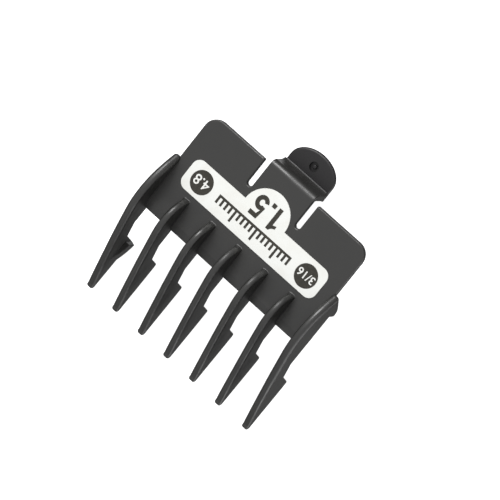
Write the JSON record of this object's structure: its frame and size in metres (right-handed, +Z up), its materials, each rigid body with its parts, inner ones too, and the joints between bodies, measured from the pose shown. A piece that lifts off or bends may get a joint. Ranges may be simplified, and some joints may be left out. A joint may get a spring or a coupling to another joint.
{
  "type": "clipper guard comb",
  "caption": "Moulded comb that clips over a hair clipper blade: slotted plate, curved teeth with blade ledges, flexing latch tongue with a finger tab, and a white label.",
  "frame": {"origin": "on the surface that the toes of the outer teeth rest on, under the middle of the comb", "axes": "+X along the blade across the teeth, +Y from the tooth tips to the finger tab, +Z up through the labelled face"},
  "size_m": [0.049, 0.0576, 0.0164],
  "materials": {
    "moulding": "satin black moulded nylon",
    "label": "white printed film"
  },
  "bodies": {
    "comb": {"base_plate": "moulding", "label_panel": "label", "outer_tooth_left": "moulding", "tooth_2": "moulding", "tooth_3": "moulding", "tooth_4": "moulding", "tooth_5": "moulding", "tooth_6": "moulding", "outer_tooth_right": "moulding", "guide_lug_left": "moulding", "guide_lug_right": "moulding", "corner_gusset_left": "moulding", "corner_gusset_right": "moulding"},
    "latch": {"latch_tongue": "moulding", "latch_riser": "moulding", "catch_lip": "moulding", "edge_step": "moulding", "finger_tab": "moulding"}
  },
  "joints": [
    {"name": "latch_flex", "type": "hinge", "parent": "comb", "child": "latch", "pos_m": [0, 0.01802, 0.00995], "axis": [1, 0, 0], "range_deg": [0, 12], "stiffness_Nm_per_rad": 0.5}
  ]
}
